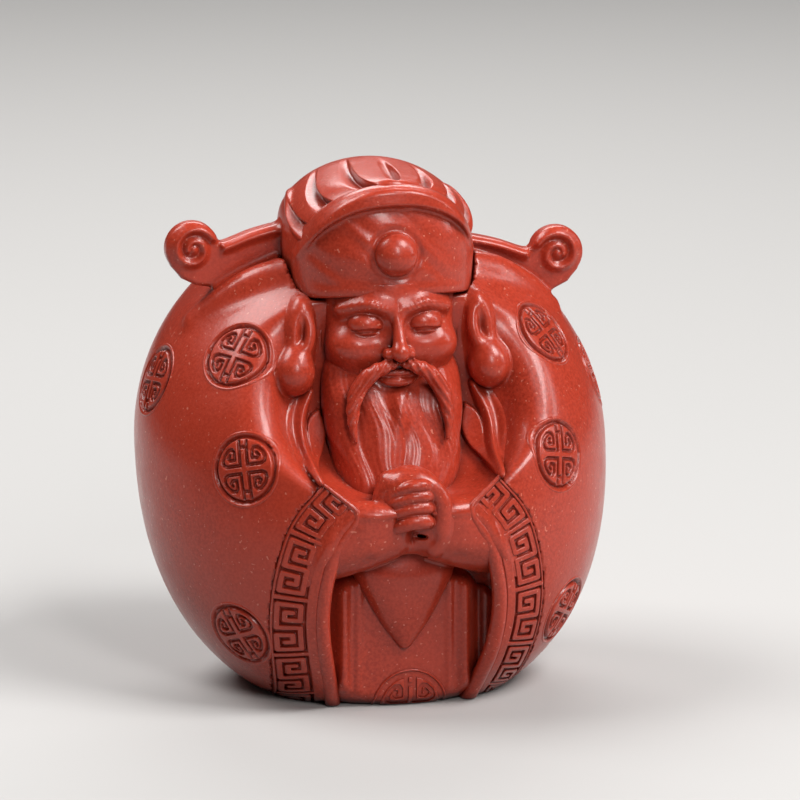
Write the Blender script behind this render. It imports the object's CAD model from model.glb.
import math
from functools import partial, reduce
from itertools import product

import bpy
import numpy as np
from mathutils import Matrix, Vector


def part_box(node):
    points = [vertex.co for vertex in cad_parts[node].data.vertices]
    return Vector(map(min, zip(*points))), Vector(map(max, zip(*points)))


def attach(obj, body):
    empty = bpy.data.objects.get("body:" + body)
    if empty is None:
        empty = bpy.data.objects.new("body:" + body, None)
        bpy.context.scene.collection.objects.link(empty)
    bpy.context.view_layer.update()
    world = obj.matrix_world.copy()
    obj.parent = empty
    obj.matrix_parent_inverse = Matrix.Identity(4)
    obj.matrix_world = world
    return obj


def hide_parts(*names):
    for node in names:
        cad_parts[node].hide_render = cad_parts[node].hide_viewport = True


# The figure is built in millimetres in its design frame: it faces -Y, its left hand is on +X,
# z = 0 is the table, and the egg's axis stands at y = 0 where the egg is widest.

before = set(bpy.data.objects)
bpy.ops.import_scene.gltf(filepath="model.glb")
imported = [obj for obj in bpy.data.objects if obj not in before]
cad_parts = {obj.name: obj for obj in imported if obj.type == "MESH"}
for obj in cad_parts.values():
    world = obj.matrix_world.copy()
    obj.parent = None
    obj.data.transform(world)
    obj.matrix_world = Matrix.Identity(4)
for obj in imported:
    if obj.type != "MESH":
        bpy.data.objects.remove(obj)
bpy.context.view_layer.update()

# Millimetres in one of the frame's metres.
MM = 1000
COARSE = 1.0
SIDES = (("left", 1), ("right", -1))

# Sizes shared with the CAD source
SLIP = 0.2
WALL = 3.0
BODY_HALF_WIDTH = 24.0
BODY_HALF_DEPTH = 22.0
BODY_WAIST_Z = 24.0
BODY_RISE = 22.4
BODY_DROP = 27.0
BODY_TOP_POWER = 2.0
BODY_BOTTOM_POWER = 2.3
BODY_LEAN = 0.2
BASE_DISC_RADIUS = 8.6
NICHE_CENTRE = (0.0, -19.5, 35.0)
NICHE_HALF = (13.0, 10.0, 13.0)
NICHE_POWERS = (4.0, 2.6)
VALLEY_CENTRE = (0.0, -22.5, 35.0)
VALLEY_HALF = (17.0, 13.0, 13.2)
MOUTH_BACK_Y = -14.6
ROBE_FRONT_Y = -16.9
HAT_TILT = math.radians(10)
HAT_Y = -3.4
HAT_Z = 39.7
HAT_HALF_WIDTH = 9.8
HAT_HALF_DEPTH = 10.2
HAT_REAR_DEPTH = 12.6
HAT_WALL_RISE = 5.8
HAT_RISE = 13.4
HAT_POWER = 2.4
FRET_WIDTH = 3.4
HEM_WIDTH = 1.0
CUFF_INNER = -FRET_WIDTH / 2 - HEM_WIDTH
CUFF_OUTER = FRET_WIDTH / 2
CUFF_LINE = [(7.7, 22.9), (10.5, 19.4), (12.0, 14.4), (12.3, 9.8), (11.7, 5.4), (10.1, -0.6)]

# The CAD group is centred on its box in depth, so its base disc tells where the design frame lies.
EGG_FOOT_Y = -BODY_LEAN * BODY_WAIST_Z
disc_low, disc_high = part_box("base_disc")
SHIFT = (disc_low.y + disc_high.y) / 2 * MM - EGG_FOOT_Y


# Fields

# Each is negative inside its form, and near enough to a distance in millimetres.

def smin(a, b, k):
    h = np.clip(0.5 + 0.5 * (b - a) / k, 0, 1)
    return b + (a - b) * h - k * h * (1 - h)


def smax(a, b, k):
    return -smin(-a, -b, k)


def most(*fields):
    return reduce(np.maximum, fields)


def smooth(low, high, value):
    t = np.clip((value - low) / (high - low), 0, 1)
    return t * t * (3 - 2 * t)


def bump(distance, width):
    return np.exp(-((distance / width) ** 2))


def mix(a, b, t):
    return a + (b - a) * t


def ellipsoid(x, y, z, centre, radii):
    u, v, w = (x - centre[0]) / radii[0], (y - centre[1]) / radii[1], (z - centre[2]) / radii[2]
    reach = np.sqrt(u * u + v * v + w * w) + 1e-9
    slope = np.sqrt((u / radii[0]) ** 2 + (v / radii[1]) ** 2 + (w / radii[2]) ** 2) + 1e-9
    return reach * (reach - 1) / slope


def ball(x, y, z, centre, radius):
    return np.sqrt((x - centre[0]) ** 2 + (y - centre[1]) ** 2 + (z - centre[2]) ** 2) - radius


def rod(x, y, z, start, end, r0, r1):
    """A rod between two points with a radius at each."""
    ax, ay, az = (end[i] - start[i] for i in range(3))
    px, py, pz = x - start[0], y - start[1], z - start[2]
    t = np.clip((px * ax + py * ay + pz * az) / (ax * ax + ay * ay + az * az), 0, 1)
    gap = np.sqrt((px - ax * t) ** 2 + (py - ay * t) ** 2 + (pz - az * t) ** 2)
    return gap - mix(r0, r1, t)


def curve_points(points, count):
    """Points evenly spread over a smooth curve through some points (any number of values each)."""
    p = np.array(points, float)
    p = np.vstack([2 * p[0] - p[1], p, 2 * p[-1] - p[-2]])
    u = np.linspace(0, len(p) - 3, count)
    low = np.minimum(u.astype(int), len(p) - 4)
    t = (u - low)[:, None]
    a, b, c, d = p[low], p[low + 1], p[low + 2], p[low + 3]
    return 0.5 * (2 * b + (c - a) * t + (2 * a - 5 * b + 4 * c - d) * t**2 + (3 * b - a - 3 * c + d) * t**3)


THINNEST_STRAND = 0.02


def strand(x, y, z, points, count=10):
    """A smooth tapered rod through points (x, y, z, radius)."""
    p = curve_points(points, count)
    p[:, 3] = np.maximum(p[:, 3], THINNEST_STRAND)
    return reduce(np.minimum, (rod(x, y, z, a[:3], b[:3], a[3], b[3]) for a, b in zip(p[:-1], p[1:])))


def pillow(x, y, z, centre, half, plan=2.0, upright=None):
    """A box with superellipse outlines, level and upright."""
    upright = plan if upright is None else upright
    u, v, w = (np.abs((c - m) / h) + 1e-9 for c, m, h in zip((x, y, z), centre, half))
    q = (u**plan + v**plan) ** (1 / plan)
    n = (q**upright + w**upright) ** (1 / upright)
    dq = n ** (1 - upright) * q ** (upright - 1) * q ** (1 - plan)
    gx = dq * u ** (plan - 1) / half[0]
    gy = dq * v ** (plan - 1) / half[1]
    gz = n ** (1 - upright) * w ** (upright - 1) / half[2]
    return (n - 1) / np.sqrt(gx * gx + gy * gy + gz * gz)


def egg(x, y, z, grow=0.0):
    above = z > BODY_WAIST_Z
    reach = np.where(above, BODY_RISE, BODY_DROP) + grow
    power = np.where(above, BODY_TOP_POWER, BODY_BOTTOM_POWER)
    width, depth = BODY_HALF_WIDTH + grow, BODY_HALF_DEPTH + grow
    back = y - BODY_LEAN * (z - BODY_WAIST_Z)
    rho = np.sqrt((x / width) ** 2 + (back / depth) ** 2) + 1e-9
    rise = np.abs(z - BODY_WAIST_Z) / reach + 1e-9
    n = (rho**power + rise**power) ** (1 / power)
    k = n ** (1 - power)
    dr = k * rho ** (power - 2)
    gx = dr * x / width**2
    gy = dr * back / depth**2
    gz = k * rise ** (power - 1) * np.sign(z - BODY_WAIST_Z) / reach - BODY_LEAN * gy
    return (n - 1) / np.sqrt(gx * gx + gy * gy + gz * gz)


# Of a luted piece: its fillet's start under the skin, the fillet's spread in radii, the piece's depth
FILLET_SINK = 0.05
FILLET_SPREAD = 1.25
LUTE_DEPTH = 0.45


def lute(form, carrier, k):
    """A form joined to its carrier by a fillet of slip, cut off just under the carrier's skin."""
    joined = smin(form, carrier + FILLET_SINK, k)
    return most(joined, form - FILLET_SPREAD * k, -(carrier + LUTE_DEPTH))


# Cuff line

def cuff_curve():
    """Middle of the fret as a centripetal curve, with its direction: share, x, z, dx, dz."""
    p = np.array(CUFF_LINE, float)
    p = np.vstack([2 * p[0] - p[1], p, 2 * p[-1] - p[-2]])
    share = np.linspace(0, 1, 241)
    u = share * (len(CUFF_LINE) - 1)
    low = np.minimum(u.astype(int), len(CUFF_LINE) - 2)
    t = (u - low)[:, None]
    p0, p1, p2, p3 = p[low], p[low + 1], p[low + 2], p[low + 3]
    root = lambda a, b: np.sum((a - b) ** 2, axis=1)[:, None] ** 0.25
    d0, d1, d2 = root(p0, p1), root(p1, p2), root(p2, p3)
    t1 = ((p1 - p0) / d0 - (p2 - p0) / (d0 + d1) + (p2 - p1) / d1) * d1
    t2 = ((p2 - p1) / d1 - (p3 - p1) / (d1 + d2) + (p3 - p2) / d2) * d1
    at = p1 + t1 * t + (-3 * p1 + 3 * p2 - 2 * t1 - t2) * t**2 + (2 * p1 - 2 * p2 + t1 + t2) * t**3
    along = np.gradient(at, axis=0)
    along /= np.linalg.norm(along, axis=1)[:, None]
    return share, at[:, 0], at[:, 1], along[:, 0], along[:, 1]


CUFF = cuff_curve()
CUFF_LENGTH = float(np.sum(np.hypot(np.diff(CUFF[1]), np.diff(CUFF[2]))))


def cuff_plan(share, across):
    """x and z of a place on the cuff. Outside 0 to 1 it runs on straight."""
    near = np.clip(share, 0, 1)
    x, z, dx, dz = (np.interp(near, CUFF[0], column) for column in CUFF[1:])
    past = (share - near) * CUFF_LENGTH
    return x + dx * past - dz * across, z + dz * past + dx * across


def mouth_edge(across):
    """x of the sleeve mouth's edge over height, as a table."""
    share = np.linspace(-0.25, 1.1, 300)
    x, z = cuff_plan(share, across)
    order = np.argsort(z)
    return z[order], x[order]


MOUTH = mouth_edge(CUFF_INNER + SLIP)
MOUTH_SLOPE = np.gradient(MOUTH[1], MOUTH[0])
MOUTH_STEEPEST = 1.5
MOUTH_TOP_Z = 20.9


def mouth(x, y, z):
    """The hollow between the sleeves."""
    edge = np.interp(z, *MOUTH)
    slope = np.clip(np.interp(z, MOUTH[0], MOUTH_SLOPE), -MOUTH_STEEPEST, MOUTH_STEEPEST)
    side = (np.abs(x) - edge) / np.sqrt(1 + slope * slope)
    return smax(smax(side, y - MOUTH_BACK_Y, 0.8), z - MOUTH_TOP_Z, 0.6)


def line_gap(x, z, line):
    """Distance to an open line of points in a plane."""
    gap = np.full(np.shape(x), 1e9)
    for (ax, az), (bx, bz) in zip(line[:-1], line[1:]):
        dx, dz = bx - ax, bz - az
        px, pz = x - ax, z - az
        t = np.clip((px * dx + pz * dz) / (dx * dx + dz * dz + 1e-12), 0, 1)
        gap = np.minimum(gap, (px - dx * t) ** 2 + (pz - dz * t) ** 2)
    return np.sqrt(gap)


# Body

# Places of the pressed medallions on the egg: x, z, front or back, and their lean in degrees
MEDALLIONS = [
    ("upper_right", -15.9, 35.4, -1, -6),
    ("upper_left", 16.3, 36.1, -1, 8),
    ("elbow_right", -16.2, 25.0, -1, 13),
    ("elbow_left", 16.2, 25.0, -1, -12),
    ("flank_right", -22.55, 31.3, -1, 8),
    ("flank_left", 22.5, 30.6, -1, -8),
    ("hem_right", -16.4, 7.5, -1, 20),
    ("hem_left", 17.2, 8.2, -1, -20),
    ("back_upper_right", -9.0, 33.0, 1, 6),
    ("back_upper_left", 9.0, 33.0, 1, -6),
    ("back_middle", 0.0, 20.0, 1, 0),
    ("back_lower_right", -15.5, 13.0, 1, -12),
    ("back_lower_left", 15.5, 13.0, 1, 12),
]
MEDALLION_RADIUS = 3.2
STAMP_BED_DEPTH = 0.5
STAMP_BED_EDGE = 0.35
STAMP_RADIUS = 3.95

# Least share of the depth, squared, that is left at the egg's sides
SIDE_LEAST = 0.01


def egg_y(x, z, facing=-1, grow=0.0):
    """y of the egg's skin in front (-1) or behind (1), by x and height."""
    above = z > BODY_WAIST_Z
    power = np.where(above, BODY_TOP_POWER, BODY_BOTTOM_POWER)
    reach = np.where(above, BODY_RISE, BODY_DROP) + grow
    share = (1 - (np.abs(z - BODY_WAIST_Z) / reach) ** power) ** (1 / power)
    inner = np.maximum(SIDE_LEAST, 1 - (x / ((BODY_HALF_WIDTH + grow) * share)) ** 2)
    return BODY_LEAN * (z - BODY_WAIST_Z) + facing * (BODY_HALF_DEPTH + grow) * share * np.sqrt(inner)


MEDALLION_CENTRES = [np.array([x, egg_y(x, z, facing), z]) for _, x, z, facing, _ in MEDALLIONS]

SHOULDER_FOLD = [
    (9.6, -4.5, 42.5, 1.2), (12.4, -3.7, 41.7, 1.2), (15.4, -2.6, 39.9, 0.9), (18.4, -1.4, 37.4, 0.3),
]
DISH_EDGE = 1.2
DISH_EDGE_BY_FACE = 2.6


def arms(x, y, z):
    """The egg with a fold on each shoulder and the dish between the upper arms, softest by the face."""
    niche = pillow(x, y, z, NICHE_CENTRE, NICHE_HALF, *NICHE_POWERS)
    dish = smin(niche, pillow(x, y, z, VALLEY_CENTRE, VALLEY_HALF), 2.4)
    whole = smin(egg(x, y, z), strand(np.abs(x), y, z, SHOULDER_FOLD, 8), 2.2)
    soft = DISH_EDGE + DISH_EDGE_BY_FACE * smooth(23.5, 29.0, z) * (1 - smooth(37.0, 41.0, z))
    return smax(whole, -dish, soft)


HAT_SEAT_PLAY = 0.12
HAT_SEAT_DROP = 0.2
HAT_SEAT_RISE = 4.5


def hat_seat(x, y, z):
    """The seat in the shoulders that holds the hat, with a hair's breadth of play."""
    v, w = hat_frame(y, z)
    upright = np.maximum(-HAT_SEAT_DROP - w, w - HAT_SEAT_RISE)
    return smax(plan_gap(x, v, hat_taper(w)) - HAT_SEAT_PLAY, upright, 0.2)


def skin(x, y, z):
    """The body's outer skin."""
    made = smax(arms(x, y, z), -mouth(x, y, z), 0.5)
    made = smax(made, -hat_seat(x, y, z), 0.25)
    return smax(made, -z, 0.7)


BED_DEPTH = 0.55
BED_BACK_Y = -4.0
BED_MIDDLE = (CUFF_INNER + CUFF_OUTER) / 2
BED_LINE = list(zip(*cuff_plan(np.linspace(0, 1.04, 40), np.full(40, BED_MIDDLE))))
BAND_TOP_SHIFT = 0.5


def cuff_gap(x, y, z):
    """Distance to the strip that the cuff band covers, seen from the front."""
    side = np.abs(x)
    gap = line_gap(side, z, BED_LINE) - (CUFF_OUTER - CUFF_INNER) / 2
    (ax, az), (bx, bz) = BED_LINE[:2]
    reach = math.hypot(bx - ax, bz - az)
    past_top = ((side - ax) * (bx - ax) + (z - az) * (bz - az)) / reach
    return most(gap, BAND_TOP_SHIFT - past_top, y - BED_BACK_Y)


CAVITY_FRONT_Y = -6.4


def body(x, y, z):
    """The hollow body with the beds of the medallions and cuff bands, and the hole for the base disc."""
    outer = skin(x, y, z)
    for centre in MEDALLION_CENTRES:
        gap = ball(x, y, z, centre, 0.0)
        beyond = smooth(MEDALLION_RADIUS, MEDALLION_RADIUS + STAMP_BED_EDGE, gap)
        outer = outer + STAMP_BED_DEPTH * (1 - beyond)
    outer = outer + BED_DEPTH * (1 - smooth(-0.08, 0.04, cuff_gap(x, y, z)))
    cavity = smax(egg(x, y, z, -WALL), CAVITY_FRONT_Y - y, 2.0)
    cavity = smax(cavity, WALL - z, 1.0)
    disc = np.maximum(np.hypot(x, y - EGG_FOOT_Y) - BASE_DISC_RADIUS - SLIP / 2, z - WALL - 0.5)
    return most(outer, -cavity, -disc)


# Meshing

NET_BLOCK = 6
# Half a cube's diagonal, and what a field's value may be out by as a distance
HALF_DIAGONAL = 0.87
FIELD_MARGIN = 1.7
SETTLE_ROUNDS = 3
SETTLE_STRIDE = 0.6
SLOPE_REACH = 0.02


def measure(field, points, reach):
    """Value and gradient of a field at some points."""
    value, slope = 0.0, np.zeros_like(points)
    for corner in ((1, -1, -1), (-1, -1, 1), (-1, 1, -1), (1, 1, 1)):
        at = points + reach * np.array(corner)
        sample = field(at[:, 0], at[:, 1], at[:, 2])
        value = value + sample / 4
        slope += sample[:, None] * np.array(corner) / (4 * reach)
    return value, slope


def in_parts(function, points, size=200_000):
    return [function(points[i:i + size]) for i in range(0, len(points), size)]


def net(field, low, high, step):
    """Surface net of a field in a box, drawn onto the surface: points, quads and normals."""
    block = NET_BLOCK
    step = step * COARSE
    low, high = np.array(low, float), np.array(high, float)
    blocks = np.maximum(1, np.ceil((high - low) / (step * block)).astype(int))
    cells = blocks * block
    evaluate = lambda at: field(at[:, 0], at[:, 1], at[:, 2])
    centres = (np.indices(blocks).reshape(3, -1).T + 0.5) * block * step + low
    coarse = np.concatenate(in_parts(evaluate, centres)).reshape(blocks)
    near = np.abs(coarse) < HALF_DIAGONAL * block * step * FIELD_MARGIN
    spread = lambda a: a.repeat(block, 0).repeat(block, 1).repeat(block, 2)
    grid = np.pad(np.where(spread(coarse) < 0, -1.0, 1.0), ((0, 1),) * 3, mode="edge")
    wanted = np.zeros(cells + 1, bool)
    fine = spread(near)
    for i, j, k in product((0, 1), repeat=3):
        wanted[i:cells[0] + i, j:cells[1] + j, k:cells[2] + k] |= fine
    places = np.argwhere(wanted)
    grid[wanted] = np.concatenate(in_parts(evaluate, places * step + low))
    inside = grid < 0
    corners, spots = [], []
    for axis in range(3):
        b, c = (axis + 1) % 3, (axis + 2) % 3
        lower, upper = [slice(1, -1)] * 3, [slice(1, -1)] * 3
        lower[axis], upper[axis] = slice(None, -1), slice(1, None)
        crossing = np.argwhere(inside[tuple(lower)] != inside[tuple(upper)])
        crossing[:, [b, c]] += 1
        ahead = crossing + np.eye(3, dtype=int)[axis]
        first, second = grid[tuple(crossing.T)], grid[tuple(ahead.T)]
        spot = crossing.astype(float)
        spot[:, axis] += first / (first - second)
        around = []
        for db, dc in ((-1, -1), (0, -1), (0, 0), (-1, 0)):
            cell = crossing.copy()
            cell[:, b] += db
            cell[:, c] += dc
            around.append(np.ravel_multi_index(cell.T, cells))
        quad = np.stack(around, axis=1)
        turned = first >= 0
        quad[turned] = quad[turned][:, ::-1]
        corners.append(quad)
        spots.append(spot)
    quads, spots = np.concatenate(corners), np.concatenate(spots)
    index = np.unique(quads.ravel(), return_inverse=True)[1]
    count = np.bincount(index)
    points = np.stack([np.bincount(index, np.repeat(spots[:, i], 4)) / count for i in range(3)], axis=1)
    points = points * step + low

    def settle(at):
        for _ in range(SETTLE_ROUNDS):
            value, slope = measure(field, at, SLOPE_REACH)
            size = np.sum(slope * slope, axis=1) + 1e-6
            move = slope * (value / size)[:, None]
            far = np.linalg.norm(move, axis=1)
            at = at - move * np.minimum(1, SETTLE_STRIDE * step / (far + 1e-9))[:, None]
        _, slope = measure(field, at, 0.25 * step)
        return np.hstack([at, slope / (np.linalg.norm(slope, axis=1) + 1e-9)[:, None]])

    settled = np.concatenate(in_parts(settle, points))
    return settled[:, :3], index.reshape(-1, 4), settled[:, 3:]


def solid_mesh(name, points, faces, normals=None):
    """A smooth object from points in the design frame, faces and any normals."""
    mesh = bpy.data.meshes.new(name)
    mesh.from_pydata(((points + (0, SHIFT, 0)) / MM).tolist(), [], faces)
    mesh.validate()
    mesh.shade_smooth()
    if normals is not None:
        mesh.normals_split_custom_set_from_vertices(normals.tolist())
    made = bpy.data.objects.new(name, mesh)
    bpy.context.scene.collection.objects.link(made)
    return made


def finish_piece(piece, nodes=()):
    piece.data.materials.append(clay)
    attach(piece, "root")
    if nodes:
        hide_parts(*nodes)
    return piece


def sculpt(name, field, x_span, y_span, z_span, step, nodes=()):
    """A clay piece from a field in a box, with the nodes that it stands for."""
    low, high = zip(x_span, y_span, z_span)
    points, quads, normals = net(field, low, high, step)
    return finish_piece(solid_mesh(name, points, quads.tolist(), normals), nodes)


# Materials

# Sockets of Blender's mix node for colours
MIX_A, MIX_B, MIX_RESULT = 6, 7, 2

BLACK, WHITE = (0.0, 0.0, 0.0), (1.0, 1.0, 1.0)
CLAY_DEEP, CLAY_WARM = (0.33, 0.027, 0.011), (0.42, 0.037, 0.016)
CLAY_GRAIN = (0.47, 0.046, 0.021)
CLAY_SPECK = (0.58, 0.15, 0.10)
CLAY_CREVICE = (0.34, 0.30, 0.30)
CREVICE_REACH = 0.0011
SHEEN_BRIGHT, SHEEN_DULL = (0.28, 0.28, 0.28), (0.38, 0.38, 0.38)
GRAIN_HEIGHT = 0.00004
WAVE_HEIGHT = 0.00025


def new_material(name):
    """A material with its node tree and its shader."""
    made = bpy.data.materials.new(name)
    made.use_nodes = True
    return made, made.node_tree, made.node_tree.nodes["Principled BSDF"]


def blend(tree, share, a, b, kind="MIX"):
    """Two colours mixed or multiplied. Each input is a socket, a number or a colour."""
    node = tree.nodes.new("ShaderNodeMix")
    node.data_type = "RGBA"
    node.blend_type = kind
    for socket, value in ((node.inputs["Factor"], share), (node.inputs[MIX_A], a), (node.inputs[MIX_B], b)):
        if isinstance(value, bpy.types.NodeSocket):
            tree.links.new(value, socket)
        elif isinstance(value, float):
            socket.default_value = value
        else:
            socket.default_value = (*value, 1)
    return node.outputs[MIX_RESULT]


def clay_material():
    """Fired red clay: two tones, grain, pale specks, darker crevices and a tea polished sheen."""
    made, tree, shader = new_material("red_clay")
    nodes, links = tree.nodes, tree.links
    where = nodes.new("ShaderNodeTexCoord").outputs["Object"]

    def noise(scale, detail, rough=0.55):
        node = nodes.new("ShaderNodeTexNoise")
        node.inputs["Scale"].default_value = scale
        node.inputs["Detail"].default_value = detail
        node.inputs["Roughness"].default_value = rough
        links.new(where, node.inputs["Vector"])
        return node.outputs["Fac"]

    def ramp(source, *stops):
        node = nodes.new("ShaderNodeValToRGB")
        for end, (place, colour) in zip(node.color_ramp.elements, stops):
            end.position = place
            end.color = (*colour, 1)
        links.new(source, node.inputs["Fac"])
        return node.outputs["Color"]

    def relief(strength, height, source):
        node = nodes.new("ShaderNodeBump")
        node.inputs["Strength"].default_value = strength
        node.inputs["Distance"].default_value = height
        links.new(source, node.inputs["Height"])
        return node

    tone = ramp(noise(90, 4), (0.35, CLAY_DEEP), (0.65, CLAY_WARM))
    grain = ramp(noise(3200, 2), (0.36, BLACK), (0.62, WHITE))
    specks = ramp(noise(2600, 1, 0.4), (0.71, BLACK), (0.75, WHITE))
    colour = blend(tree, specks, blend(tree, grain, tone, CLAY_GRAIN), CLAY_SPECK)
    crevice = nodes.new("ShaderNodeAmbientOcclusion")
    crevice.samples = 6
    crevice.inputs["Distance"].default_value = CREVICE_REACH
    shade = ramp(crevice.outputs["AO"], (0.25, CLAY_CREVICE), (0.95, WHITE))
    links.new(blend(tree, 1.0, colour, shade, "MULTIPLY"), shader.inputs["Base Color"])
    sheen = ramp(noise(400, 3), (0.3, SHEEN_BRIGHT), (0.7, SHEEN_DULL))
    links.new(sheen, shader.inputs["Roughness"])
    shader.inputs["Specular IOR Level"].default_value = 0.32
    shader.inputs["Coat Weight"].default_value = 0.3
    shader.inputs["Coat Roughness"].default_value = 0.16
    fine = relief(0.5, GRAIN_HEIGHT, noise(4200, 3, 0.6))
    waves = relief(0.25, WAVE_HEIGHT, noise(420, 3))
    links.new(fine.outputs["Normal"], waves.inputs["Normal"])
    links.new(waves.outputs["Normal"], shader.inputs["Normal"])
    return made


clay = clay_material()


# Head and face

# A strand's points are x, y, z and radius. Those of the left side serve the right one too.
EYE_X, EYE_Y, EYE_Z = 2.9, -12.0, 38.5
LIP_Z = 33.2
LID_EDGE = 0.12
HEAD_FOOT_Z = 27.5
HEAD_IN_HAT = 1.2
BROW_RIDGE = [(0.7, -13.2, 40.0, 0.4), (2.9, -13.0, 40.55, 0.5), (5.4, -11.4, 39.9, 0.4)]
BROW = [(1.1, -13.45, 40.15, 0.26), (3.0, -13.28, 40.72, 0.32), (5.5, -11.65, 40.05, 0.16)]
NOSE_BRIDGE = [(0, -13.3, 39.6, 0.5), (0, -13.95, 38.2, 0.55), (0, -14.6, 36.9, 0.68), (0, -15.0, 36.1, 0.85)]
CHEEK_FOLD = [(1.9, -14.5, 35.9, 0.06), (2.4, -14.3, 35.0, 0.12), (2.9, -13.7, 33.8, 0.08)]
LOWER_LIP = [(0, -14.15, LIP_Z - 0.35, 0.52), (1.1, -13.95, LIP_Z - 0.3, 0.42), (1.9, -13.45, LIP_Z, 0.2)]
UPPER_LIP = [
    (0, -14.2, LIP_Z + 0.52, 0.34), (0.9, -14.1, LIP_Z + 0.6, 0.34), (1.9, -13.45, LIP_Z + 0.15, 0.18),
]
MOUSTACHE = [
    (0.2, -14.35, 34.75, 0.3), (1.3, -14.75, 34.6, 0.62), (2.7, -14.65, 33.95, 0.8),
    (4.0, -14.35, 32.6, 0.85), (4.7, -14.6, 30.8, 0.75), (4.9, -15.1, 28.8, 0.5), (4.7, -15.6, 27.2, 0.2),
]


def hat_frame(y, z):
    """y and z in the tilted frame of the hat."""
    c, s = math.cos(HAT_TILT), math.sin(HAT_TILT)
    return (y - HAT_Y) * c - (z - HAT_Z) * s, (y - HAT_Y) * s + (z - HAT_Z) * c


def skull(x, y, z):
    """The head with its cheeks, chin, brows and eye sockets."""
    side = np.abs(x)
    dome = ellipsoid(x, y, z, (0, -6.2, 40.0), (7.4, 7.3, 9.5))
    jaw = ellipsoid(x, y, z, (0, -7.4, 34.2), (6.7, 6.3, 6.0))
    cheek = ellipsoid(side, y, z, (3.9, -10.9, 36.1), (2.7, 2.6, 2.3))
    chin = ellipsoid(x, y, z, (0, -11.4, 31.2), (2.4, 2.2, 1.8))
    socket = ellipsoid(side, y, z, (EYE_X, -14.15, EYE_Z - 0.05), (2.05, 1.4, 1.1))
    made = smin(smin(smin(dome, jaw, 2.0), cheek, 1.2), chin, 1.4)
    made = smin(made, strand(side, y, z, BROW_RIDGE, 8), 1.3)
    made = smax(made, -socket, 1.0)
    hairs = 0.035 * np.cos(11 * side + 9 * z)
    return smin(made, strand(side, y, z, BROW, 8) + hairs, 0.3)


def with_eyes(made, side, y, z):
    """The face with its eyeballs and nearly closed lids."""
    eyeball = ellipsoid(side, y, z, (EYE_X, EYE_Y, EYE_Z), (1.75, 1.45, 1.3))
    upper = ellipsoid(side, y, z, (EYE_X, EYE_Y, EYE_Z), (1.95, 1.68, 1.5))
    lower = ellipsoid(side, y, z, (EYE_X, EYE_Y, EYE_Z - 0.05), (1.9, 1.6, 1.42))
    arc = EYE_Z - 0.28 - 0.10 * (side - EYE_X) ** 2
    made = smin(made, eyeball, 0.15)
    made = smin(made, smax(upper, arc - z, LID_EDGE), LID_EDGE)
    return smin(made, smax(lower, z - arc + 0.42, LID_EDGE), LID_EDGE)


def nose(x, y, z):
    side = np.abs(x)
    tip = ball(x, y, z, (0, -15.05, 35.95), 0.92)
    nose_side = ellipsoid(side, y, z, (1.12, -14.35, 35.75), (0.66, 0.8, 0.6))
    nostril = ball(side, y, z, (0.55, -14.95, 35.1), 0.32)
    made = smin(smin(strand(x, y, z, NOSE_BRIDGE, 6), tip, 0.4), nose_side, 0.35)
    return smax(made, -nostril, 0.2)


def head(x, y, z):
    side = np.abs(x)
    made = with_eyes(skull(x, y, z), side, y, z)
    made = smin(made, nose(x, y, z), 0.55)
    made = smax(made, -strand(side, y, z, CHEEK_FOLD, 5), 0.8)
    made = smin(made, strand(side, y, z, LOWER_LIP, 5), 0.35)
    return smin(made, strand(side, y, z, UPPER_LIP, 5), 0.3)


# Beard

def moustache(x, y, z):
    side = np.abs(x)
    across = side - 0.62 * (34.5 - z)
    strokes = np.cos(across * 8.0 + 0.6 * np.sin(z))
    return strand(side, y, z, MOUSTACHE, 18) + 0.05 * strokes * smooth(27.5, 29.5, z)


BEARD = curve_points([
    # z, half width, front y, half depth
    (36.4, 5.4, -10.6, 1.6),
    (34.6, 6.4, -12.0, 2.8),
    (32.8, 7.0, -13.3, 3.4),
    (30.5, 7.2, -14.6, 4.0),
    (28.0, 7.1, -15.5, 4.5),
    (25.5, 6.8, -16.4, 4.5),
    (22.5, 6.3, -17.4, 4.2),
    (19.0, 5.9, -18.0, 3.6),
    (16.0, 5.6, -18.25, 3.0),
    (13.6, 5.1, -18.7, 2.6),
    (11.0, 3.8, -18.6, 2.2),
    (8.4, 2.3, -18.1, 1.7),
    (6.2, 0.7, -17.5, 1.1),
], 160)[::-1]
BEARD_TOP_Z = 35.6
BEARD_TIP_Z = 6.0
BEARD_POWER = 2.2


def beard_shape(x, y, z):
    """Distance to the beard's smooth leaf, and the share of its width."""
    width, front, depth = (np.interp(z, BEARD[:, 0], BEARD[:, i]) for i in (1, 2, 3))
    u, v = np.abs(x / width), np.abs((y - front - depth) / depth)
    n = (u**BEARD_POWER + v**BEARD_POWER) ** (1 / BEARD_POWER) + 1e-6
    slope = np.hypot(u / width, v / depth) / n + 1e-6
    return np.clip((n - 1) / slope, -5, 5), x / width


def beard(x, y, z):
    made, across = beard_shape(x, y, z)
    drift = 0.11 * np.sin(z * 0.40 + 1.3) + 0.05 * np.sin(z * 0.85 + across * 3)
    lobe = np.sin((across + drift) * math.pi * 2.0 + 0.4) ** 2
    lock = 0.28 * (lobe ** 0.7 - 0.6)
    hair = np.cos((across + 1.3 * drift) * 46) + 0.7 * np.cos((across + drift) * 81 + 2.0 * np.sin(z * 0.33))
    fade = smooth(16.0, 20.5, z)
    middle = 0.5 * bump(x - 0.2 * np.sin(z * 0.6), 0.75) * bump(z - 29.6, 2.3)
    made = made - lock * fade - 0.012 * hair * fade - middle
    lip = ellipsoid(x, y, z, (0, -14.8, LIP_Z + 0.15), (2.6, 2.4, 1.2))
    top = smax(made, z - BEARD_TOP_Z + 0.02 * x * x, 0.8)
    top = smax(top, -lip, 0.9)
    return smax(top, BEARD_TIP_Z - z, 0.5)


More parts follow.
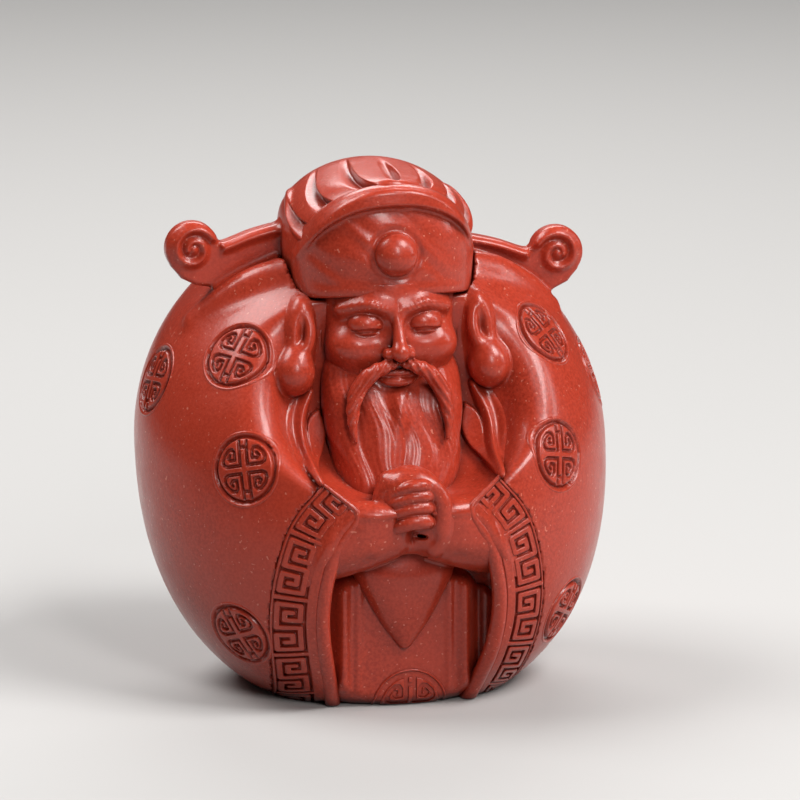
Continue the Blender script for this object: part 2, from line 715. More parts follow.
def whole_beard(x, y, z):
    return smin(beard(x, y, z), moustache(x, y, z), 0.4)


# Hat

def plan_gap(x, y, size):
    """Distance to the hat's outline, scaled."""
    depth = np.where(y < 0, HAT_HALF_DEPTH, HAT_REAR_DEPTH)
    u, v = np.abs(x / size / HAT_HALF_WIDTH) + 1e-9, np.abs(y / size / depth) + 1e-9
    n = (u**HAT_POWER + v**HAT_POWER) ** (1 / HAT_POWER)
    k = n ** (1 - HAT_POWER)
    slope = np.hypot(k * u ** (HAT_POWER - 1) / HAT_HALF_WIDTH, k * v ** (HAT_POWER - 1) / depth)
    return (n - 1) / slope * size


def hat_taper(z):
    return 1 - 0.06 * np.maximum(0, 1 - z / HAT_WALL_RISE) ** 1.5


# Comma-shaped scoops over the crown: angle at the head and at the tail, y of each, width and depth
SCOOPS = [
    (161, 147, -6.6, 2.4, 1.3, 0.45),
    (139, 122, -7.4, 3.0, 1.9, 0.95),
    (110, 103, -8.1, 2.8, 1.9, 0.95),
    (82, 84, -8.2, 1.2, 1.8, 0.85),
    (56, 65, -7.4, 0.2, 1.7, 0.80),
    (34, 46, -6.7, -0.6, 1.5, 0.70),
    (15, 28, -5.8, -1.0, 1.2, 0.50),
]
CROWN_RADIUS = 8.7
CROWN_RIDGE = 0.34


def scooped(angle, y):
    """Depth of the scoops at an angle over the crown and a depth."""
    cut = 0.0
    for head_at, tail_at, head_y, tail_y, width, depth in SCOOPS:
        share = (y - head_y) / (tail_y - head_y)
        near = np.clip(share, 0, 1)
        middle = np.radians(mix(head_at, tail_at, near ** 1.4))
        across = (angle - middle) * CROWN_RADIUS
        wide = width * (0.30 + 0.70 * (1 - near))
        wall = smooth(-0.32, 0.04, across) * (1 - smooth(0.1, wide, across))
        along = smooth(-0.16, 0.04, share) * (1 - smooth(0.25, 1.08, share))
        cut = np.maximum(cut, depth * wall * along)
    return cut


def crown(x, y, z):
    """The vaulted crown with its scoops and side ridges."""
    y, z = hat_frame(y, z)
    depth = np.where(y < 0, HAT_HALF_DEPTH, HAT_REAR_DEPTH)
    behind = np.maximum(0, y / HAT_REAR_DEPTH)
    wall = HAT_WALL_RISE + math.tan(HAT_TILT) * y - 4 * behind**3
    vault = (HAT_RISE - HAT_WALL_RISE) * (1 - 0.8 * np.minimum(behind, 1) ** 3)
    half = HAT_HALF_WIDTH * (1 - np.minimum(np.abs(y / depth), 0.985) ** HAT_POWER) ** (1 / HAT_POWER)
    rise = (z - wall) / vault
    arch = (np.hypot(x / half, np.maximum(rise, 0)) - 1) * np.minimum(half, vault)
    angle = np.arctan2(rise, x / half)
    made = smax(plan_gap(x, y, hat_taper(z)), arch, 1.0)
    made = made + scooped(angle, y)
    edge = np.minimum(angle, math.pi - angle)
    ridge_at = np.radians(mix(6, 34, smooth(-8.0, 4.0, y)))
    ridge = bump((edge - ridge_at) * CROWN_RADIUS, 0.5) * smooth(-8.6, -6.5, y) * (1 - smooth(1.0, 7.0, y))
    made = made - CROWN_RIDGE * ridge
    return smax(made, -z, 0.25)


VISOR_THICKNESS = 1.5
VISOR_RIM = 0.95
RIM_SLOPE = 0.4
# x and height in the hat's frame
VISOR_TOP = [
    (0, 11.2), (2.3, 11.0), (4.3, 10.4), (6.0, 9.5), (7.4, 8.3), (8.3, 7.0), (8.9, 5.7), (9.2, 4.9),
    (9.8, 4.2),
]
VISOR_FOOT = [(0, 9.0), (2.3, 8.85), (4.4, 8.35), (6.3, 7.4), (7.6, 6.3), (8.5, 5.1), (9.1, 4.2), (9.8, 3.6)]
VISOR_STEEPEST = -1.6
VISOR_END_X = 9.25
JEWEL_RADIUS = 2.2
JEWEL_RISE = 4.15
JEWEL_CENTRE = (0, -HAT_HALF_DEPTH - 0.1, JEWEL_RISE)


def visor_table():
    """Heights of the visor's arched top and of its rim's foot, with their slopes, over x."""
    x = np.linspace(0, 9.8, 300)
    columns = [x]
    for points in (VISOR_TOP, VISOR_FOOT):
        curve = curve_points(points, 300)
        height = np.interp(x, curve[:, 0], curve[:, 1])
        columns += [height, np.gradient(height, x)]
    return columns


VISOR = visor_table()


def visor(x, y, z):
    """The turned-up front with its rim."""
    y, z = hat_frame(y, z)
    side = np.abs(x)
    top, top_slope, foot, foot_slope = (np.interp(side, VISOR[0], column) for column in VISOR[1:])
    over = (z - top) / np.sqrt(1 + np.clip(top_slope, VISOR_STEEPEST, 0.0) ** 2)
    under = (foot - z) / np.sqrt(1 + np.clip(foot_slope, VISOR_STEEPEST, 0.0) ** 2)
    out = plan_gap(x, y, hat_taper(z))
    share = np.clip(z / (foot - 0.3), 0, 1)
    fade = 1 - smooth(7.2, 9.2, side)
    belly = 0.30 * np.sin(share * math.pi) * bump(side, 7.0)
    brow = 0.16 * bump(z - 0.5, 0.7)
    wrinkle = 0.055 * np.sin(2.1 * z + 1.4 * x + np.sin(1.1 * x + 0.6 * z)) * smooth(0.5, 2.5, z) * fade

    def plate(inner, outer, low, high, rounding):
        du = np.maximum(inner - out, out - outer) + rounding
        dv = np.maximum(low, high) + rounding
        return np.hypot(np.maximum(du, 0), np.maximum(dv, 0)) + np.minimum(np.maximum(du, dv), 0) - rounding

    wall = plate(-VISOR_THICKNESS, 0.02 + fade * (0.08 + belly + brow) + wrinkle, -z, over + 0.35, 0.22)
    sloped = over + RIM_SLOPE * np.maximum(0, out + 0.5)
    rim = plate(-VISOR_THICKNESS, 0.03 + VISOR_RIM * fade, under, sloped, 0.36)
    made = smin(wall, rim, 0.7)
    ring = np.hypot(x, z - JEWEL_RISE)
    made = made + 0.14 * bump(ring - JEWEL_RADIUS - 0.3, 0.36)
    return np.maximum(smax(made, side - VISOR_END_X, 0.15), y)


def jewel(x, y, z):
    return ellipsoid(x, *hat_frame(y, z), JEWEL_CENTRE, (JEWEL_RADIUS, 1.75, JEWEL_RADIUS))


# Wings

WING_Y = -0.5
WING_ASIDE = 0.32
WING_LOWERED = 0.32
WING_DROOP = 2.0
WING_HALF = 0.90
WING_RELIEF = 0.52
SCROLL_X, SCROLL_Z, SCROLL_RADIUS = 18.8, 44.9, 2.75
WING_TOP_POINTS = [(6.0, 47.6), (9.0, 47.3), (12.6, 46.5), (15.4, 45.5), (16.2, 45.6)]
WING_UNDERSIDE = [
    (17.2, 44.6), (20.9, 43.2), (20.0, 41.9), (18.4, 41.1), (16.4, 40.8), (12.4, 41.6), (6.0, 41.6),
]
WING_TOP = [tuple(p) for p in curve_points(WING_TOP_POINTS, 14)]
WING_EDGE = [(x, z - 0.5) for x, z in WING_TOP]
COIL_START = math.radians(150)
COIL_TURNS = 1.42
COIL_REACH = (2.30, 0.55)
COIL_POINTS = 40


def outline_gap(x, z, outline):
    """Distance to a closed outline, negative inside."""
    inside = np.zeros(x.shape, bool)
    for (ax, az), (bx, bz) in zip(outline, outline[1:] + outline[:1]):
        dx, dz = bx - ax, bz - az
        crosses = (az > z) != (bz > z)
        inside ^= crosses & (x - ax < dx * (z - az) / (dz if dz else 1e-9))
    return np.where(inside, -1, 1) * line_gap(x, z, outline + outline[:1])


def coil():
    """Middle line of the scroll, from its rim inwards."""
    points = []
    for i in range(COIL_POINTS):
        share = i / (COIL_POINTS - 1)
        turn = COIL_START - 2 * math.pi * COIL_TURNS * share
        reach = mix(*COIL_REACH, share ** 0.9)
        points.append((SCROLL_X + reach * math.cos(turn), SCROLL_Z + reach * math.sin(turn)))
    return points


COIL = coil()


def wing(x, y, z, side):
    """A wing of the hat. The left one hangs lower."""
    x = (x - WING_ASIDE) * side
    z = z + WING_LOWERED + (WING_DROOP if side > 0 else 0)
    from_hub = np.hypot(x - SCROLL_X, z - SCROLL_Z)
    outline = smin(outline_gap(x, z, WING_TOP + WING_UNDERSIDE), from_hub - SCROLL_RADIUS, 0.35)
    on_scroll = 1 - smooth(SCROLL_RADIUS - 0.1, SCROLL_RADIUS + 0.5, from_hub)
    ridge = mix(bump(line_gap(x, z, WING_EDGE), 0.52), bump(line_gap(x, z, COIL), 0.46), on_scroll)
    ridge = np.maximum(ridge, bump(from_hub, 0.62) * on_scroll)
    return smax(outline, np.abs(y - WING_Y) - WING_HALF - WING_RELIEF * ridge, 0.55)


# Ears and ribbons

HELIX = [
    (8.5, -7.8, 40.1, 0.6), (9.2, -9.1, 39.8, 0.65), (9.8, -9.9, 38.4, 0.65), (10.0, -10.4, 36.5, 0.65),
    (10.1, -10.9, 34.9, 0.8),
]
INNER_EAR = [
    (8.4, -10.0, 39.0, 0.4), (8.3, -10.7, 37.6, 0.5), (8.7, -11.0, 36.2, 0.6), (9.5, -11.2, 35.2, 0.6),
]
LOBE_CENTRE = (10.0, -10.8, 33.5)


def ear(x, y, z, side):
    """An ear with its long lobe."""
    x = x * side
    conch = ellipsoid(x, y, z, (9.0, -8.9, 36.8), (1.35, 2.2, 4.0))
    hollow = ellipsoid(x, y, z, (9.05, -11.4, 37.7), (0.5, 1.0, 1.9))
    made = smin(conch, strand(x, y, z, HELIX, 12), 0.8)
    made = smax(made, -hollow, 0.7)
    made = smin(made, strand(x, y, z, INNER_EAR, 8), 0.6)
    return smin(made, ellipsoid(x, y, z, LOBE_CENTRE, (2.1, 2.15, 2.4)), 0.8)


# x, z and radius
RIBBON_BAND = [
    (8.5, 31.5, 0.45), (9.35, 30.25, 0.95), (9.95, 28.7, 1.15), (9.95, 27.2, 1.05), (9.5, 25.6, 0.85),
    (9.2, 24.3, 0.4),
]
RIBBON_LEAF = [
    (7.6, 29.3, 0.25), (7.95, 28.3, 0.85), (8.0, 27.3, 1.05), (8.15, 26.2, 0.8), (8.6, 25.2, 0.45),
    (9.1, 24.4, 0.25),
]
RIBBON_CREST_POINTS = [(8.3, 31.4), (9.0, 30.15), (9.5, 28.7), (9.55, 27.3), (9.3, 25.7), (9.2, 24.4)]
RIBBON_CREST = [tuple(p) for p in curve_points(RIBBON_CREST_POINTS, 16)]
BAND_HEIGHT, CREST_HEIGHT, LEAF_HEIGHT = 0.12, 0.95, 0.8


def flat_strand(x, z, points):
    """A strand seen from the front: distance to its outline in the plane of x and z."""
    return strand(x, np.zeros_like(x), z, [(px, 0, pz, radius) for px, pz, radius in points], 16)


def ribbon(x, z, side, carrier):
    """A hat ribbon lying on the robe: a band with a crest, and a flat leaf beside it."""
    x = x * side
    crest = CREST_HEIGHT * bump(line_gap(x, z, RIBBON_CREST), 0.62)
    band = smax(flat_strand(x, z, RIBBON_BAND), carrier - BAND_HEIGHT - crest, 0.35)
    leaf = smax(flat_strand(x, z, RIBBON_LEAF), carrier - LEAF_HEIGHT, 0.3)
    return smin(band, leaf, 0.2)


# Arms and hands

FOREARM = [
    (13.0, -15.2, 17.4, 4.3), (10.4, -16.6, 17.5, 4.25), (8.0, -17.6, 17.65, 3.95), (6.2, -18.2, 17.95, 3.65),
    (4.4, -18.7, 18.25, 3.3), (2.4, -18.9, 18.6, 2.9),
]
ELBOW_CREASE = [(4.6, -21.6, 16.1, 0.1), (6.2, -22.0, 15.0, 0.3), (8.0, -21.2, 13.8, 0.15)]
WRIST = [(7.6, -18.6, 19.2, 1.1), (5.6, -20.1, 20.0, 1.5), (4.2, -20.6, 20.5, 1.5), (2.8, -20.6, 20.7, 1.4)]
THUMB = [
    (0.6, -20.8, 24.1, 0.9), (1.9, -21.3, 23.5, 0.95), (2.75, -21.5, 22.2, 1.0), (2.95, -21.5, 20.6, 1.05),
    (2.75, -21.4, 18.9, 1.05), (2.2, -20.9, 17.2, 0.95),
]
HEEL_OF_HAND = [
    (-2.4, -19.6, 24.0, 0.8), (-3.0, -19.9, 22.4, 0.8), (-3.05, -20.1, 20.4, 0.85), (-2.7, -20.2, 18.6, 0.85),
    (-1.9, -20.3, 17.3, 0.75),
]
FINGERS = [
    # height, reach to the figure's right and to its left, radius
    (23.75, 2.1, 1.4, 0.62),
    (22.65, 2.5, 1.7, 0.66),
    (21.5, 2.6, 1.8, 0.70),
    (20.1, 2.4, 1.6, 0.82),
]


def forearm(x, y, z, side):
    """The inner sleeve in the sleeve's mouth, with the wrist blended over the lip."""
    u = x * side
    made = smax(strand(u, y, z, FOREARM, 18), -strand(u, y, z, ELBOW_CREASE, 8), 1.1)
    made = smax(made, mouth(x, y, z) - 0.4, 0.2)
    return smin(made, strand(u, y, z, WRIST, 12), 1.4)


def hands_shape(x, y, z):
    """The left hand, cupped round the other."""
    palm = ellipsoid(x, y, z, (-0.1, -18.9, 20.7), (3.6, 2.7, 4.5))
    knuckles = ellipsoid(x, y, z, (-0.1, -20.0, 23.3), (2.9, 2.2, 2.1))
    opening = ellipsoid(x, y, z, (0.4, -22.1, 18.4), (1.7, 2.1, 0.95))
    made = smin(smin(palm, knuckles, 0.8), strand(x, y, z, THUMB, 16), 0.9)
    made = smin(made, strand(x, y, z, HEEL_OF_HAND, 14), 0.9)
    return smax(made, -opening, 0.6)


def fist_shape(x, y, z):
    """The right hand, its four fingers folded across the front."""
    made = pillow(x, y, z, (-0.5, -19.9, 21.7), (2.6, 2.15, 3.05), 2.4)
    for at, right_reach, left_reach, radius in FINGERS:
        finger = [
            (-right_reach, -20.9, at - 1.0, radius * 0.6),
            (-right_reach * 0.6, -21.7, at - 0.4, radius * 0.9),
            (-0.4, -22.1, at + 0.05, radius),
            (left_reach * 0.55, -22.1, at + 0.12, radius),
            (left_reach, -21.6, at - 0.1, radius * 0.8),
        ]
        made = smin(made, strand(x, y, z, finger, 14), 0.2)
    hollow = ellipsoid(x, y, z, (0.4, -22.3, 18.7), (1.7, 1.8, 0.62))
    hole = ellipsoid(x, y, z, (1.0, -22.0, 17.6), (0.5, 1.3, 0.8))
    return smax(smax(made, -hollow, 0.3), -hole, 0.3)


# Under robe and the rolled edges of the sleeves

ROBE_BACK_Y = -12.0
ROBE_TOP_Z = 17.5


def robe(x, y, z):
    """The folded panel between the sleeves, set back under the arms."""
    side = np.abs(x)
    pleat = bump(side - 6.3, 0.8) - 0.75 * bump(side - 7.8, 0.65)
    fold = 1.05 * pleat + 0.35 * bump(side - 4.7, 0.5)
    under_arms = smooth(0.0, 2.0, z + 0.035 * x * x - 13.4)
    front = ROBE_FRONT_Y - fold * (1 - under_arms) + 0.016 * x * x + 1.7 * under_arms
    made = smax((front - y) * 0.72, y - ROBE_BACK_Y, 0.3)
    made = smax(made, egg(x, y, z, -0.35), 0.5)
    made = smax(made, z - ROBE_TOP_Z, 0.3)
    made = smax(made, mouth(x, y, z) + 0.1, 0.4)
    return smax(made, -z, 0.4)


SLEEVE_EDGE = [
    # share of the cuff line, place across it, radius
    (-0.004, CUFF_OUTER + 0.1, 0.2),
    (-0.004, CUFF_OUTER - 1.2, 0.24),
    (-0.004, CUFF_INNER + 1.8, 0.28),
    (-0.002, CUFF_INNER + 0.5, 0.28),
    (0.022, CUFF_INNER - 0.15, 0.34),
    (0.07, CUFF_INNER - 0.40, 0.55),
    (0.12, CUFF_INNER - 0.55, 0.72),
    *((share, CUFF_INNER - 0.55, 0.78) for share in (0.25, 0.40, 0.55, 0.70, 0.85, 1.05)),
]


def sleeve_edge_path():
    """Points of the rolled edge along the sleeve's mouth, with their radius."""
    path = []
    for share, across, radius in SLEEVE_EDGE:
        x, z = (float(value[0]) for value in cuff_plan(np.array([share]), across))
        y = egg_y(x, max(0.0, z)) + radius - 0.13 * bump(share, 0.05)
        path.append((x, y, z, radius))
    return path


SLEEVE_EDGE_PATH = sleeve_edge_path()


def sleeve_fold(x, y, z, side):
    """The rolled edge of the wide sleeve."""
    return smax(strand(x * side, y, z, SLEEVE_EDGE_PATH, 44), -z, 0.3)


# The clay pieces, cut to fit each other and luted on

def nearest(*fields):
    """The union of some fields."""
    return lambda x, y, z: reduce(np.minimum, (field(x, y, z) for field in fields))


def luted(field, carrier, k):
    """The field of a form that is luted to its carrier."""
    return lambda x, y, z, **side: lute(field(x, y, z, **side), carrier(x, y, z), k)


def head_piece(x, y, z):
    w = hat_frame(y, z)[1]
    return most(head(x, y, z), w - HEAD_IN_HAT, HEAD_FOOT_Z - z)


def beard_piece(x, y, z):
    made = lute(whole_beard(x, y, z), head(x, y, z), 0.35)
    return np.maximum(made, -(robe(x, y, z) + 0.3))


def crown_piece(x, y, z):
    return np.maximum(crown(x, y, z), -(visor(x, y, z) + 0.35))


def visor_piece(x, y, z):
    gap = jewel(x, y, z)
    return np.maximum(smin(visor(x, y, z), gap + 0.05, 0.25), -(gap + 0.5))


def skin_and_head(x, y, z):
    return smin(skin(x, y, z), head(x, y, z), 0.8)


def ribbon_piece(x, y, z, side):
    carrier = skin(x, y, z)
    return lute(ribbon(x, z, side, carrier), carrier, 0.35)


arms_and_beard = nearest(partial(forearm, side=1), partial(forearm, side=-1), whole_beard)

# Node, field, box in x, y and z, and mesh step. The box of a pair is that of the left one.
SINGLE_PIECES = [
    ("head", head_piece, (-8.5, 8.5), (-17.2, 2.5), (27, 44), 0.14),
    ("beard", beard_piece, (-8.2, 8.2), (-20.6, -6), (5.2, 37.5), 0.14),
    ("hat_crown", crown_piece, (-10.6, 10.6), (-14.5, 10.5), (37.5, 54), 0.16),
    ("hat_visor", visor_piece, (-10.6, 10.6), (-16.5, -5.5), (38.6, 53.5), 0.13),
    ("hat_jewel", jewel, (-2.4, 2.4), (-17.5, -10.5), (40.5, 48), 0.1),
    ("hand_left", luted(hands_shape, arms_and_beard, 0.45), (-5.2, 5.6), (-23, -14.5), (15.2, 26.6), 0.12),
    ("fist_right", luted(fist_shape, hands_shape, 0.3), (-4.0, 4.0), (-23.6, -16.5), (15.8, 25.8), 0.1),
    ("under_robe", robe, (-13, 13), (-20, -11.4), (-0.8, 18.2), 0.16),
]
PAIRED_PIECES = [
    ("hat_wing", luted(wing, nearest(skin, crown), 0.7), (7.0, 22.2), (-2.7, 1.7), (37.0, 48.8), 0.12),
    ("ear", luted(ear, skin_and_head, 0.6), (6.2, 13.0), (-13.6, -5), (30, 42.6), 0.13),
    ("hat_ribbon", ribbon_piece, (5.5, 13.0), (-22.2, -7.5), (22.5, 36), 0.13),
    ("forearm", luted(forearm, nearest(skin, whole_beard), 0.9), (1.6, 13.5), (-23, -12), (12, 23), 0.16),
    ("sleeve_fold", luted(sleeve_fold, skin, 0.35), (4.6, 12.0), (-23, -9), (-0.8, 25.0), 0.14),
]

sculpt("body_shell", body, (-25, 25), (-24.5, 24), (-0.8, 47.5), 0.42, ("front_shell", "rear_shell"))
for node, field, *box, step in SINGLE_PIECES:
    sculpt(f"{node}_clay", field, *box, step, (node,))
for word, side in SIDES:
    for node, field, x_span, y_span, z_span, step in PAIRED_PIECES:
        box = (sorted(side * x for x in x_span), y_span, z_span)
        sculpt(f"{node}_{word}_clay", partial(field, side=side), *box, step, (f"{node}_{word}",))


# Cuff bands with key fret

FRET_PANEL = 6.6
FRET_FIRST = 5.3
KEY_ROWS = [0.72 + 0.86 * i for i in range(7)]
KEY_COLUMNS = (-1.08, -0.36, 0.36, 1.08)
# Column and row of each turn of a key
KEY_TURNS = [
    (1, 1), (2, 1), (2, 2), (0, 2), (0, 0), (3, 0), (3, 3), (0, 3), (0, 6), (3, 6), (3, 4), (1, 4),
    (1, 5), (2, 5),
]
KEY_LINE = [(KEY_COLUMNS[column], KEY_ROWS[row]) for column, row in KEY_TURNS]
KEY_HALF, RULE_HALF, BORDER_HALF = 0.23, 0.20, 0.10
BORDER_AT = 1.58
FRET_START = -1.60
FRET_DEPTH = 0.34
FRET_LIFT = 0.03
BAND_THICKNESS = 0.52
BAND_END = 0.985


def fret_height(along, across):
    """Height of the fret's relief over the band, by place along and across it."""
    place = (along - FRET_FIRST) % FRET_PANEL
    key = line_gap(across, place, KEY_LINE) - KEY_HALF
    rule = np.minimum(place, FRET_PANEL - place) - RULE_HALF
    border = np.abs(across - BORDER_AT) - BORDER_HALF
    lines = smooth(-0.03, 0.15, reduce(np.minimum, (key, rule, border)))
    raised = (across >= FRET_START) * (1 - lines)
    on_fret = smooth(FRET_START - 0.06, FRET_START + 0.06, across)
    return FRET_LIFT - FRET_DEPTH * (1 - raised) * on_fret


def cuff_band(name, side):
    """The band as rings of points over the sleeve: the relief, then the edges under it."""
    count_along, count_across = int(430 / COARSE), int(76 / COARSE)
    share = np.linspace(0.0, BAND_END, count_along)
    across = np.linspace(CUFF_INNER, CUFF_OUTER, count_across)
    x, z = cuff_plan(share, np.zeros_like(share))
    middle = np.stack([x, egg_y(x, np.maximum(z, 0)), z], axis=1)
    arc = np.concatenate([[0], np.cumsum(np.linalg.norm(np.diff(middle, axis=0), axis=1))])
    shares, acrosses = np.meshgrid(share, across, indexing="ij")
    arcs = np.broadcast_to(arc[:, None], shares.shape)
    height = fret_height(arcs, acrosses)
    height = height - 0.25 * (1 - smooth(0.0, 0.3, acrosses - CUFF_INNER)) ** 2
    height = height - 0.10 * (1 - smooth(0.0, 0.12, CUFF_OUTER - acrosses))
    height = height - 0.22 * (1 - smooth(0.0, 0.3, arcs)) ** 2
    rows = [(shares, acrosses, height)]
    for edge in (CUFF_OUTER, CUFF_INNER):
        rows.append((share[:, None], np.full((count_along, 1), edge), -BAND_THICKNESS))
    rings = []
    for places, edges, heights in rows:
        x, z = cuff_plan(places, edges)
        y = egg_y(x, np.maximum(z, 0), -1, heights)
        rings.append(np.stack([x * side, y, np.maximum(z, 0)], axis=-1))
    return tube_mesh(name, np.concatenate(rings, axis=1), side < 0)


def tube_mesh(name, rings, turned):
    """A closed skin over rings of points with a cap at both ends, its faces turned over where asked."""
    count, around = rings.shape[:2]
    points = rings.reshape(-1, 3)
    i, j = np.meshgrid(np.arange(count - 1), np.arange(around), indexing="ij")
    k = (j + 1) % around
    quads = np.stack([i * around + j, i * around + k, (i + 1) * around + k, (i + 1) * around + j], axis=-1)
    faces = quads.reshape(-1, 4).tolist()
    for first in (0, (count - 1) * around):
        hub = len(points)
        points = np.vstack([points, points[first:first + around].mean(axis=0)])
        for n in range(around):
            pair = (first + n, first + (n + 1) % around)
            faces.append([hub, *(pair if first else pair[::-1])])
    if turned:
        faces = [face[::-1] for face in faces]
    return solid_mesh(name, points, faces)


for word, side in SIDES:
    finish_piece(cuff_band(f"cuff_band_{word}_clay", side), (f"cuff_band_{word}",))


# Medallions

# The grooves lie in one quarter of the disc, in shares of its radius.
SCROLL_GROOVE = [
    (0.13, 0.13), (0.60, 0.13), (0.72, 0.20), (0.74, 0.33), (0.66, 0.50), (0.50, 0.65),
    (0.38, 0.66), (0.31, 0.57), (0.31, 0.33), (0.46, 0.31), (0.54, 0.39), (0.47, 0.48),
]
STEM_GROOVE = [(0.13, 0.13), (0.13, 0.96)]
NOTCH_GROOVE = [(0.0, 0.70), (0.13, 0.70)]
GROOVES = (SCROLL_GROOVE, STEM_GROOVE, NOTCH_GROOVE)
GROOVE_HALF_WIDTH = 0.034
GROOVE_DEPTH = 0.28
RIM_AT, RIM_WIDTH, RIM_DEPTH = 1.03, 0.18, 0.38
LIP_AT, LIP_WIDTH = 1.16, 0.16
DISC_RISE = 0.05
STAMP_LIFT = 0.012
STAMP_EDGE_WIDTH, STAMP_EDGE_DROP = 0.18, 0.10
STAMP_THICKNESS = 0.6


def medallion_height(u, v, turn):
    """Relief of the round fret: thin grooves pressed into a flat disc."""
    c, s = math.cos(math.radians(turn)), math.sin(math.radians(turn))
    u, v = (u * c + v * s) / MEDALLION_RADIUS, (v * c - u * s) / MEDALLION_RADIUS
    r = np.hypot(u, v)
    line = np.minimum.reduce([line_gap(np.abs(u), np.abs(v), points) for points in GROOVES])
    line = (line - GROOVE_HALF_WIDTH) * MEDALLION_RADIUS
    inside = 1 - smooth(0.93, 0.97, r)
    groove = 1 - smooth(-0.04, 0.13, line)
    rim = bump((r - RIM_AT) * MEDALLION_RADIUS, RIM_WIDTH)
    lip = bump((r - LIP_AT) * MEDALLION_RADIUS, LIP_WIDTH)
    return (DISC_RISE * (1 - groove) - GROOVE_DEPTH * groove) * inside - RIM_DEPTH * rim + DISC_RISE * lip


def medallion(name, centre, turn):
    """A stamped disc laid over the arms' skin round a point, with a flat underside."""
    rings, around = int(60 / COARSE), int(220 / COARSE)
    slope = measure(arms, centre[None, :], 0.05)[1]
    normal = slope[0] / np.linalg.norm(slope[0])
    across = np.cross((0, 0, 1.0), normal)
    across /= np.linalg.norm(across)
    upward = np.cross(normal, across)
    reach = STAMP_RADIUS * (np.arange(1, rings + 1) / rings) ** 0.9
    angle = 2 * math.pi * np.arange(around) / around
    u = np.concatenate([[0], np.outer(reach, np.cos(angle)).ravel()])
    v = np.concatenate([[0], np.outer(reach, np.sin(angle)).ravel()])
    points = centre + np.outer(u, across) + np.outer(v, upward)
    for _ in range(4):
        value, slope = measure(arms, points, SLOPE_REACH)
        points = points - normal * np.clip(value / (slope @ normal), -0.5, 0.5)[:, None]
    slope = measure(arms, points, 0.05)[1]
    normals = slope / np.linalg.norm(slope, axis=1)[:, None]
    edge = smooth(STAMP_RADIUS - STAMP_EDGE_WIDTH, STAMP_RADIUS, np.hypot(u, v))
    height = medallion_height(u, v, turn) + STAMP_LIFT - STAMP_EDGE_DROP * edge
    top = points + normals * height[:, None]
    below = points[-around:] - normals[-around:] * STAMP_THICKNESS
    hub = centre - normal * STAMP_THICKNESS
    n = np.arange(around)
    m = (n + 1) % around
    faces = np.stack([0 * n, 1 + n, 1 + m], axis=1).tolist()
    for i in range(rings):
        a, b = 1 + i * around, 1 + (i + 1) * around
        faces += np.stack([a + n, b + n, b + m, a + m], axis=1).tolist()
    last = 1 + rings * around
    faces += np.stack([0 * n + last + around, last + m, last + n], axis=1).tolist()
    return solid_mesh(name, np.vstack([top, below, hub]), faces)


for (name, *_, turn), centre in zip(MEDALLIONS, MEDALLION_CENTRES):
    finish_piece(medallion(f"medallion_{name}", centre, turn))


ROBE_STAMP_X = 0.6
ROBE_STAMP_RELIEF = 2.1


def robe_stamp(x, y, z):
    """The medallion on the robe's hem, of which the floor leaves the upper half."""
    u = x - ROBE_STAMP_X
    front = robe(x, y, z)
    relief = ROBE_STAMP_RELIEF * medallion_height(u, z, 0)
    made = smax(front - relief - 0.03, np.hypot(u, z) - STAMP_RADIUS + 0.1, 0.1)
    return smax(np.maximum(made, -front - 0.5), 0.05 - z, 0.05)


sculpt("medallion_robe", robe_stamp, (-3.8, 5.0), (-18.2, -15.0), (-0.2, 5.2), 0.07)

# The base disc is shown as it is, in the clay.
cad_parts["base_disc"].data.materials.clear()
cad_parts["base_disc"].data.materials.append(clay)


# Camera

# The distance is in metres. The aim is in millimetres right of and above the design frame's origin.
AZIMUTH, ELEVATION = math.radians(-12), math.radians(12.5)
CAMERA_DISTANCE = 1.2
FOCAL_PIXELS = 11765
FRAME_PIXELS = 800
SENSOR_WIDTH = 36
AIM_RIGHT, AIM_UP = 3.06, 27.23
back = Vector((
    math.sin(AZIMUTH) * math.cos(ELEVATION),
    -math.cos(AZIMUTH) * math.cos(ELEVATION),
    math.sin(ELEVATION),
))
right = Vector((math.cos(AZIMUTH), math.sin(AZIMUTH), 0))
up = back.cross(right)
aim = (right * AIM_RIGHT + up * AIM_UP) / MM + Vector((0, SHIFT / MM, 0))
camera = bpy.data.objects.new("camera", bpy.data.cameras.new("camera"))
bpy.context.scene.collection.objects.link(camera)
camera.location = aim + back * CAMERA_DISTANCE
camera.rotation_mode = "QUATERNION"
camera.rotation_quaternion = (-back).to_track_quat("-Z", "Y")
camera.data.sensor_width = SENSOR_WIDTH
camera.data.lens = SENSOR_WIDTH * FOCAL_PIXELS / FRAME_PIXELS
camera.data.clip_start, camera.data.clip_end = 0.1, 20
bpy.context.scene.camera = camera


# Lamps

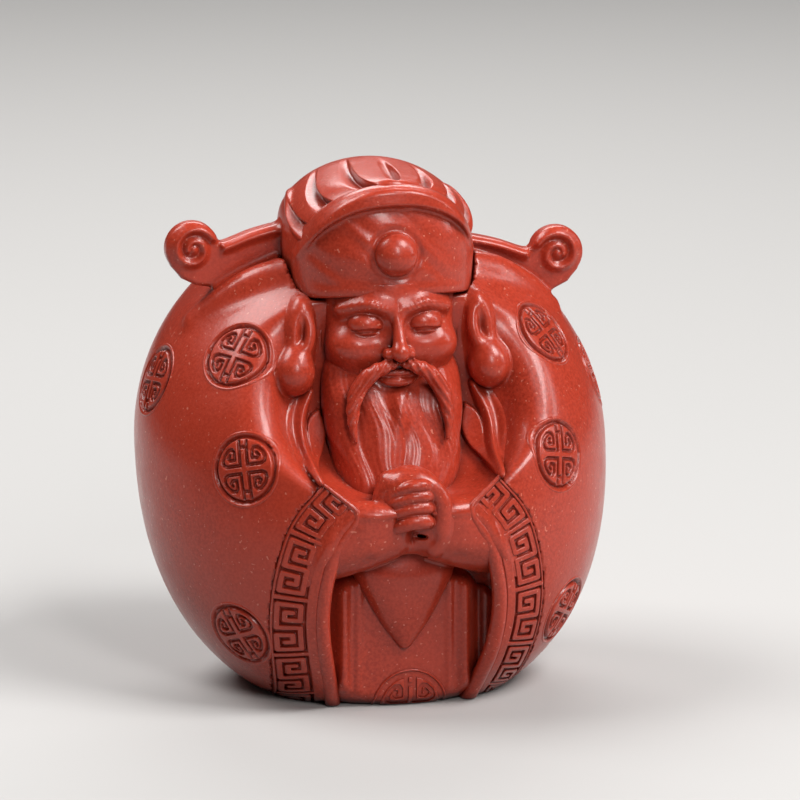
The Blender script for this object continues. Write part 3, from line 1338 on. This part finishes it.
# Name, place and size in metres, and power
LAMPS = [
    ("key", (0.24, -0.18, 0.40), (0.20, 0.20), 2.1),
    ("front", (0.05, -0.46, 0.30), (0.09, 0.22), 1.0),
    ("top", (-0.21, 0.11, 0.37), (0.26, 0.18), 1.3),
    ("rim", (0.06, 0.32, 0.28), (0.28, 0.14), 0.75),
    ("side", (0.46, -0.10, 0.22), (0.10, 0.24), 0.45),
]
LAMP_AIM = Vector((0, 0, 0.026))

for name, place, size, power in LAMPS:
    light = bpy.data.lights.new(name, "AREA")
    light.shape = "RECTANGLE"
    light.size, light.size_y = size
    light.energy = power
    lamp = bpy.data.objects.new(name, light)
    bpy.context.scene.collection.objects.link(lamp)
    lamp.location = place
    lamp.rotation_mode = "QUATERNION"
    lamp.rotation_quaternion = (LAMP_AIM - Vector(place)).to_track_quat("-Z", "Y")


# Floor and world

FLOOR_HALF = 3
FLOOR_SEEN = (0.49, 0.478, 0.465)
FLOOR_BOUNCE = (0.26, 0.25, 0.24)
WORLD_COLOUR = (0.80, 0.79, 0.78)
WORLD_STRENGTH = 0.05


def floor_material():
    """Pale where it is seen, straight or in a reflection, and darker in the light that it throws back."""
    made, tree, shader = new_material("pale_floor")
    path = tree.nodes.new("ShaderNodeLightPath")
    seen = path.outputs["Is Camera Ray"]
    for kind in ("Is Glossy Ray", "Is Transmission Ray"):
        either = tree.nodes.new("ShaderNodeMath")
        either.operation = "MAXIMUM"
        tree.links.new(seen, either.inputs[0])
        tree.links.new(path.outputs[kind], either.inputs[1])
        seen = either.outputs[0]
    tree.links.new(blend(tree, seen, FLOOR_BOUNCE, FLOOR_SEEN), shader.inputs["Base Color"])
    shader.inputs["Roughness"].default_value = 0.7
    return made


floor_mesh = bpy.data.meshes.new("floor")
corners = [(FLOOR_HALF * x, FLOOR_HALF * y, 0) for x, y in ((-1, -1), (1, -1), (1, 1), (-1, 1))]
floor_mesh.from_pydata(corners, [], [(0, 1, 2, 3)])
floor_mesh.materials.append(floor_material())
floor = bpy.data.objects.new("floor", floor_mesh)
bpy.context.scene.collection.objects.link(floor)

world = bpy.data.worlds.new("studio")
bpy.context.scene.world = world
world.use_nodes = True
world.node_tree.nodes["Background"].inputs["Color"].default_value = (*WORLD_COLOUR, 1)
world.node_tree.nodes["Background"].inputs["Strength"].default_value = WORLD_STRENGTH
bpy.context.scene.view_settings.view_transform = "Standard"
